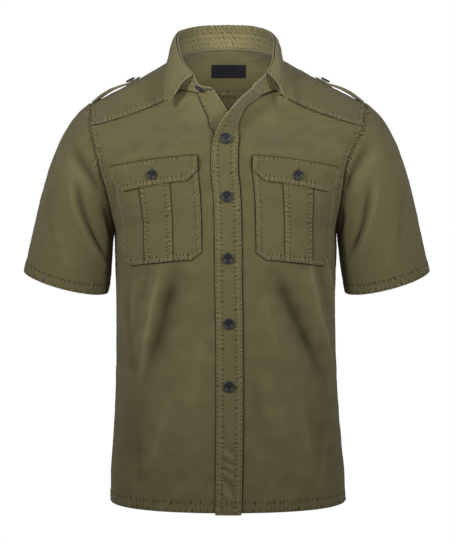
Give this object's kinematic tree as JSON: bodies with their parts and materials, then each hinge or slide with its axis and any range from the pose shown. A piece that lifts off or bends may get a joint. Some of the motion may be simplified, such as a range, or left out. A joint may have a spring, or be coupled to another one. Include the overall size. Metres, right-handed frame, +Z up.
{
  "type": "short-sleeved shirt",
  "caption": "Hollow short-sleeved utility shirt with open collar, button placket, flapped chest pockets and shoulder straps.",
  "frame": {"origin": "inside the neck on the middle plane, level with the high points of the shoulders, where a wearer holds the shirt up", "axes": "+Z up the body, -Y out of the front, +X towards the sleeve on the right of the picture"},
  "size_m": [0.6482, 0.2649, 0.7681],
  "materials": {
    "cloth": "washed twill, matt",
    "button": "satin",
    "label": "matt woven"
  },
  "bodies": {
    "root": {"front_left": "cloth", "front_right": "cloth", "back": "cloth", "yoke": "cloth", "sleeve_left": "cloth", "sleeve_right": "cloth", "button_band": "cloth", "placket": "cloth", "collar_stand": "cloth", "collar_fall": "cloth", "pocket_left": "cloth", "pocket_right": "cloth", "flap_left": "cloth", "flap_right": "cloth", "epaulette_left": "cloth", "epaulette_right": "cloth", "neck_label": "label", "button_front_1": "button", "button_front_2": "button", "button_front_3": "button", "button_front_4": "button", "button_front_5": "button", "button_collar": "button", "button_pocket_left": "button", "button_pocket_right": "button", "button_epaulette_left": "button", "button_epaulette_right": "button"}
  },
  "joints": []
}
